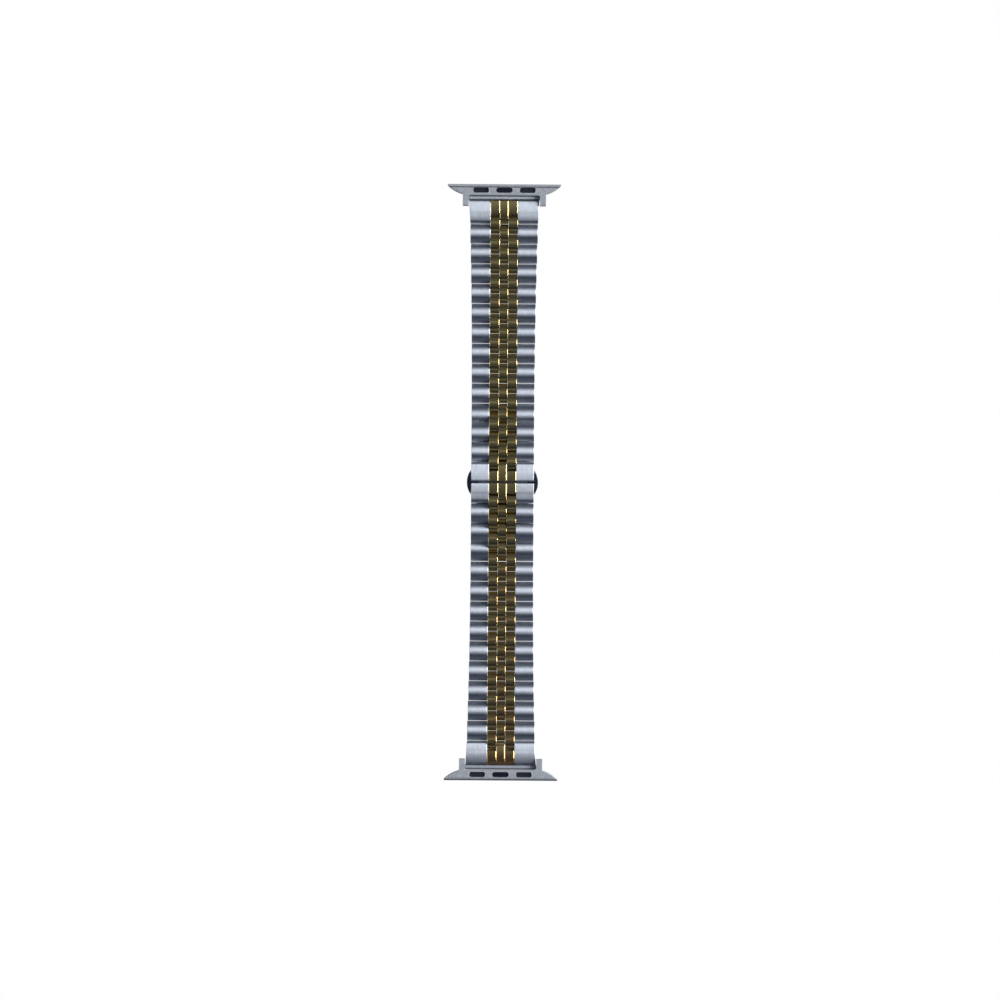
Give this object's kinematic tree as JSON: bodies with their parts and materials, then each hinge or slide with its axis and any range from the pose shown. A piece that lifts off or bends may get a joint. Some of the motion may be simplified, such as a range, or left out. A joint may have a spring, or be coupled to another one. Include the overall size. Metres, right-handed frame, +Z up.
{
  "type": "metal watch bracelet",
  "caption": "Two-tone link bracelet with a double folding push-button clasp and sliding case adapters.",
  "frame": {"origin": "middle of the closed clasp, on the surface that the bracelet lies on", "axes": "+Z up, out of the face of the band; +Y along the band, up in the picture; +X across it"},
  "size_m": [0.035, 0.1842, 0.0076],
  "materials": {
    "link_steel": "satin brushed across the band",
    "gold_plate": "polished gold plating",
    "polished_steel": "polished",
    "adapter_steel": "fine bead-blasted satin",
    "dark_steel": "satin, dark",
    "spring_steel": "bright wire",
    "pad_rubber": "matte"
  },
  "bodies": {
    "clasp": {"clasp_base": "polished_steel", "latch_housing": "dark_steel", "housing_rivets": "polished_steel", "wing_hinge_pins": "polished_steel", "button_spring": "spring_steel"},
    "push_button_left": {"push_button_left": "dark_steel"},
    "push_button_right": {"push_button_right": "dark_steel"},
    "wing_upper": {"wing_upper": "polished_steel"},
    "clasp_link_upper": {"clasp_link_upper": "link_steel", "clasp_inlay_upper": "gold_plate", "clasp_bar_upper": "polished_steel"},
    "row_upper_01": {"link_row_upper_01": "link_steel"},
    "row_upper_02": {"link_row_upper_02": "link_steel"},
    "row_upper_03": {"link_row_upper_03": "link_steel"},
    "row_upper_04": {"link_row_upper_04": "link_steel"},
    "row_upper_05": {"link_row_upper_05": "link_steel"},
    "row_upper_06": {"link_row_upper_06": "link_steel"},
    "row_upper_07": {"link_row_upper_07": "link_steel"},
    "row_upper_08": {"link_row_upper_08": "link_steel"},
    "row_upper_09": {"link_row_upper_09": "link_steel"},
    "row_upper_10": {"link_row_upper_10": "link_steel"},
    "row_upper_11": {"link_row_upper_11": "link_steel"},
    "row_upper_12": {"link_row_upper_12": "link_steel"},
    "end_link_upper": {"end_link_upper": "link_steel", "end_inlay_upper": "gold_plate"},
    "adapter_upper": {"adapter_upper": "adapter_steel", "lug_bar_upper": "polished_steel", "grip_pads_upper": "pad_rubber", "latch_cover_upper": "adapter_steel", "latch_spring_upper": "spring_steel"},
    "latch_tab_upper": {"latch_tab_upper": "polished_steel"},
    "wing_lower": {"wing_lower": "polished_steel"},
    "clasp_link_lower": {"clasp_link_lower": "link_steel", "clasp_inlay_lower": "gold_plate", "clasp_bar_lower": "polished_steel"},
    "row_lower_01": {"link_row_lower_01": "link_steel"},
    "row_lower_02": {"link_row_lower_02": "link_steel"},
    "row_lower_03": {"link_row_lower_03": "link_steel"},
    "row_lower_04": {"link_row_lower_04": "link_steel"},
    "row_lower_05": {"link_row_lower_05": "link_steel"},
    "row_lower_06": {"link_row_lower_06": "link_steel"},
    "row_lower_07": {"link_row_lower_07": "link_steel"},
    "row_lower_08": {"link_row_lower_08": "link_steel"},
    "row_lower_09": {"link_row_lower_09": "link_steel"},
    "row_lower_10": {"link_row_lower_10": "link_steel"},
    "row_lower_11": {"link_row_lower_11": "link_steel"},
    "row_lower_12": {"link_row_lower_12": "link_steel"},
    "end_link_lower": {"end_link_lower": "link_steel", "end_inlay_lower": "gold_plate"},
    "adapter_lower": {"adapter_lower": "adapter_steel", "lug_bar_lower": "polished_steel", "grip_pads_lower": "pad_rubber", "latch_cover_lower": "adapter_steel", "latch_spring_lower": "spring_steel"},
    "latch_tab_lower": {"latch_tab_lower": "polished_steel"}
  },
  "joints": [
    {"name": "wing_upper_fold", "type": "hinge", "parent": "clasp", "child": "wing_upper", "pos_m": [0, 0.0162, 0.00115], "axis": [-1, 0, 0], "range_deg": [0, 110]},
    {"name": "wing_lower_fold", "type": "hinge", "parent": "clasp", "child": "wing_lower", "pos_m": [0, -0.0162, 0.00115], "axis": [-1, 0, 0], "range_deg": [-110, 0]},
    {"name": "push_button_left_press", "type": "slide", "parent": "clasp", "child": "push_button_left", "axis": [1, 0, 0], "range_m": [0, 0.0008], "stiffness_N_per_m": 150, "springref_m": -0.004, "deforming": ["button_spring"]},
    {"name": "push_button_right_press", "type": "slide", "parent": "clasp", "child": "push_button_right", "axis": [-1, 0, 0], "range_m": [0, 0.0008], "stiffness_N_per_m": 150, "springref_m": -0.004, "deforming": ["button_spring"]},
    {"name": "latch_tab_upper_press", "type": "slide", "parent": "adapter_upper", "child": "latch_tab_upper", "axis": [0, 0, -1], "range_m": [0, 0.0006], "stiffness_N_per_m": 60, "springref_m": -0.002, "deforming": ["latch_spring_upper"]},
    {"name": "latch_tab_lower_press", "type": "slide", "parent": "adapter_lower", "child": "latch_tab_lower", "axis": [0, 0, -1], "range_m": [0, 0.0006], "stiffness_N_per_m": 60, "springref_m": -0.002, "deforming": ["latch_spring_lower"]},
    {"name": "clasp_link_upper_lift", "type": "hinge", "parent": "wing_upper", "child": "clasp_link_upper", "pos_m": [0, 0.00245, 0.00613], "axis": [1, 0, 0], "range_deg": [0, 55]},
    {"name": "clasp_link_lower_lift", "type": "hinge", "parent": "wing_lower", "child": "clasp_link_lower", "pos_m": [0, -0.00245, 0.00613], "axis": [1, 0, 0], "range_deg": [-55, 0]},
    {"name": "adapter_upper_hinge", "type": "hinge", "parent": "end_link_upper", "child": "adapter_upper", "pos_m": [0, 0.08786, 0.00145], "axis": [1, 0, 0], "range_deg": [-30, 20]},
    {"name": "adapter_lower_hinge", "type": "hinge", "parent": "end_link_lower", "child": "adapter_lower", "pos_m": [0, -0.08786, 0.00145], "axis": [1, 0, 0], "range_deg": [-20, 30]},
    {"name": "row_upper_01_hinge", "type": "hinge", "parent": "clasp_link_upper", "child": "row_upper_01", "pos_m": [0, 0.00496, 0.006], "axis": [1, 0, 0], "range_deg": [0, 8]},
    {"name": "row_upper_02_hinge", "type": "hinge", "parent": "row_upper_01", "child": "row_upper_02", "pos_m": [0, 0.01106, 0.00522], "axis": [1, 0, 0], "range_deg": [0, 8]},
    {"name": "row_upper_03_hinge", "type": "hinge", "parent": "row_upper_02", "child": "row_upper_03", "pos_m": [0, 0.01706, 0.00386], "axis": [1, 0, 0], "range_deg": [-15, 8]},
    {"name": "row_upper_04_hinge", "type": "hinge", "parent": "row_upper_03", "child": "row_upper_04", "pos_m": [0, 0.0229, 0.00193], "axis": [1, 0, 0], "range_deg": [-22, 8]},
    {"name": "row_upper_05_hinge", "type": "hinge", "parent": "row_upper_04", "child": "row_upper_05", "pos_m": [0, 0.02903, 0.00145], "axis": [1, 0, 0], "range_deg": [-22, 8]},
    {"name": "row_upper_06_hinge", "type": "hinge", "parent": "row_upper_05", "child": "row_upper_06", "pos_m": [0, 0.03518, 0.00145], "axis": [1, 0, 0], "range_deg": [-22, 8]},
    {"name": "row_upper_07_hinge", "type": "hinge", "parent": "row_upper_06", "child": "row_upper_07", "pos_m": [0, 0.04133, 0.00145], "axis": [1, 0, 0], "range_deg": [-22, 8]},
    {"name": "row_upper_08_hinge", "type": "hinge", "parent": "row_upper_07", "child": "row_upper_08", "pos_m": [0, 0.04748, 0.00145], "axis": [1, 0, 0], "range_deg": [-22, 8]},
    {"name": "row_upper_09_hinge", "type": "hinge", "parent": "row_upper_08", "child": "row_upper_09", "pos_m": [0, 0.05363, 0.00145], "axis": [1, 0, 0], "range_deg": [-22, 8]},
    {"name": "row_upper_10_hinge", "type": "hinge", "parent": "row_upper_09", "child": "row_upper_10", "pos_m": [0, 0.05978, 0.00145], "axis": [1, 0, 0], "range_deg": [-22, 8]},
    {"name": "row_upper_11_hinge", "type": "hinge", "parent": "row_upper_10", "child": "row_upper_11", "pos_m": [0, 0.06593, 0.00145], "axis": [1, 0, 0], "range_deg": [-22, 8]},
    {"name": "row_upper_12_hinge", "type": "hinge", "parent": "row_upper_11", "child": "row_upper_12", "pos_m": [0, 0.07208, 0.00145], "axis": [1, 0, 0], "range_deg": [-22, 8]},
    {"name": "end_link_upper_hinge", "type": "hinge", "parent": "row_upper_12", "child": "end_link_upper", "pos_m": [0, 0.07823, 0.00145], "axis": [1, 0, 0], "range_deg": [-22, 8]},
    {"name": "row_lower_01_hinge", "type": "hinge", "parent": "clasp_link_lower", "child": "row_lower_01", "pos_m": [0, -0.00496, 0.006], "axis": [1, 0, 0], "range_deg": [-8, 0]},
    {"name": "row_lower_02_hinge", "type": "hinge", "parent": "row_lower_01", "child": "row_lower_02", "pos_m": [0, -0.01106, 0.00522], "axis": [1, 0, 0], "range_deg": [-8, 0]},
    {"name": "row_lower_03_hinge", "type": "hinge", "parent": "row_lower_02", "child": "row_lower_03", "pos_m": [0, -0.01706, 0.00386], "axis": [1, 0, 0], "range_deg": [-8, 15]},
    {"name": "row_lower_04_hinge", "type": "hinge", "parent": "row_lower_03", "child": "row_lower_04", "pos_m": [0, -0.0229, 0.00193], "axis": [1, 0, 0], "range_deg": [-8, 22]},
    {"name": "row_lower_05_hinge", "type": "hinge", "parent": "row_lower_04", "child": "row_lower_05", "pos_m": [0, -0.02903, 0.00145], "axis": [1, 0, 0], "range_deg": [-8, 22]},
    {"name": "row_lower_06_hinge", "type": "hinge", "parent": "row_lower_05", "child": "row_lower_06", "pos_m": [0, -0.03518, 0.00145], "axis": [1, 0, 0], "range_deg": [-8, 22]},
    {"name": "row_lower_07_hinge", "type": "hinge", "parent": "row_lower_06", "child": "row_lower_07", "pos_m": [0, -0.04133, 0.00145], "axis": [1, 0, 0], "range_deg": [-8, 22]},
    {"name": "row_lower_08_hinge", "type": "hinge", "parent": "row_lower_07", "child": "row_lower_08", "pos_m": [0, -0.04748, 0.00145], "axis": [1, 0, 0], "range_deg": [-8, 22]},
    {"name": "row_lower_09_hinge", "type": "hinge", "parent": "row_lower_08", "child": "row_lower_09", "pos_m": [0, -0.05363, 0.00145], "axis": [1, 0, 0], "range_deg": [-8, 22]},
    {"name": "row_lower_10_hinge", "type": "hinge", "parent": "row_lower_09", "child": "row_lower_10", "pos_m": [0, -0.05978, 0.00145], "axis": [1, 0, 0], "range_deg": [-8, 22]},
    {"name": "row_lower_11_hinge", "type": "hinge", "parent": "row_lower_10", "child": "row_lower_11", "pos_m": [0, -0.06593, 0.00145], "axis": [1, 0, 0], "range_deg": [-8, 22]},
    {"name": "row_lower_12_hinge", "type": "hinge", "parent": "row_lower_11", "child": "row_lower_12", "pos_m": [0, -0.07208, 0.00145], "axis": [1, 0, 0], "range_deg": [-8, 22]},
    {"name": "end_link_lower_hinge", "type": "hinge", "parent": "row_lower_12", "child": "end_link_lower", "pos_m": [0, -0.07823, 0.00145], "axis": [1, 0, 0], "range_deg": [-8, 22]}
  ]
}
